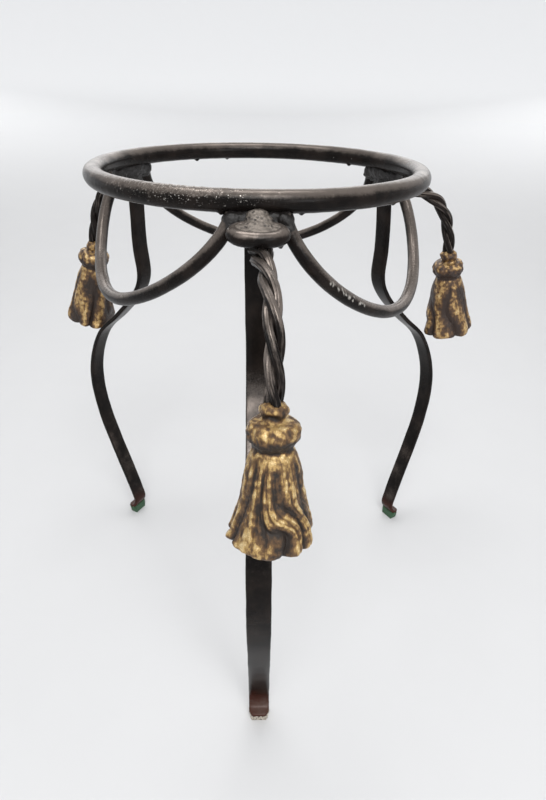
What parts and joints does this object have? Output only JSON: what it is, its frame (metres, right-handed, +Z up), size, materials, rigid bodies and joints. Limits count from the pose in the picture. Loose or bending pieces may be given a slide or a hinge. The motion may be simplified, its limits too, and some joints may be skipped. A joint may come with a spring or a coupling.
{
  "type": "plant pot stand",
  "caption": "Three-legged wrought iron pot stand with a round seat ring, curved flat-bar legs, hanging rod swags and twisted ropes with cast tassels.",
  "frame": {"origin": "middle of the footprint box on the floor", "axes": "+Z up; the front leg and its tassel stand towards -Y, the two rear legs towards +X+Y and -X+Y"},
  "size_m": [0.2936, 0.264, 0.2888],
  "materials": {
    "dark_iron": "satin dark bronze-black lacquer, worn",
    "worn_iron": "satin dark lacquer rubbed to grey on the high sides",
    "weld_metal": "rough pitted weld metal under thin lacquer",
    "gold_leaf": "antique gold rubbed over dark brown",
    "green_felt": "matt felt"
  },
  "bodies": {
    "root": {"joint_weld_front": "weld_metal", "joint_weld_left": "weld_metal", "joint_weld_right": "weld_metal", "leg_front": "dark_iron", "leg_left": "dark_iron", "leg_right": "dark_iron", "pad_front": "green_felt", "pad_left": "green_felt", "pad_right": "green_felt", "rosette_fill_front": "weld_metal", "rosette_fill_left": "weld_metal", "rosette_fill_right": "weld_metal", "rosette_front": "worn_iron", "rosette_left": "worn_iron", "rosette_right": "worn_iron", "strand_front_a": "worn_iron", "strand_front_b": "worn_iron", "strand_front_c": "worn_iron", "strand_left_a": "worn_iron", "strand_left_b": "worn_iron", "strand_left_c": "worn_iron", "strand_right_a": "worn_iron", "strand_right_b": "worn_iron", "strand_right_c": "worn_iron", "swag_front_left": "worn_iron", "swag_front_right": "worn_iron", "swag_rear": "worn_iron", "tassel_front": "gold_leaf", "tassel_left": "gold_leaf", "tassel_right": "gold_leaf", "top_ring": "dark_iron"}
  },
  "joints": []
}
